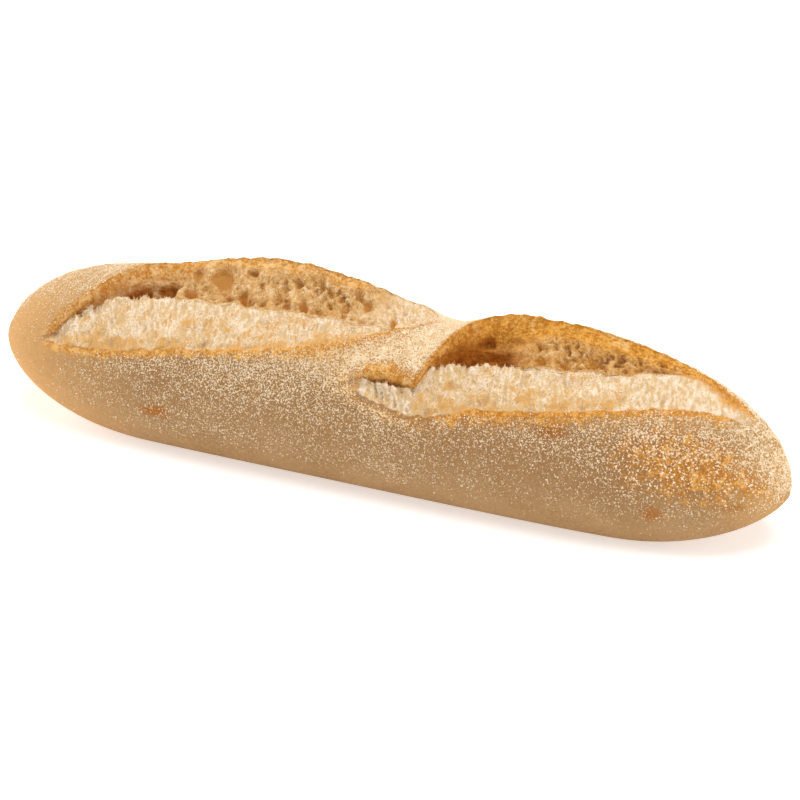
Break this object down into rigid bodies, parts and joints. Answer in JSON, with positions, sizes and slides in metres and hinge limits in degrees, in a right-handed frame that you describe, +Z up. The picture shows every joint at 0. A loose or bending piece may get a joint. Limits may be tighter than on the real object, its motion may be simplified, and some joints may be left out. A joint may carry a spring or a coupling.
{
  "type": "baguette",
  "caption": "Short crusty baguette with blunt rounded ends, a flat underside and diagonal slashes that have opened into raised ears over pale torn crumb.",
  "frame": {"origin": "middle of the loaf's bounding box, on the flat underside", "axes": "+X along the loaf towards the end nearer the camera in the picture, -Y towards the near side that the slashes face, +Z up"},
  "size_m": [0.27, 0.065, 0.0554],
  "materials": {
    "crust": "matt baked crust dusted with flour"
  },
  "bodies": {
    "root": {"loaf": "crust"}
  },
  "joints": []
}
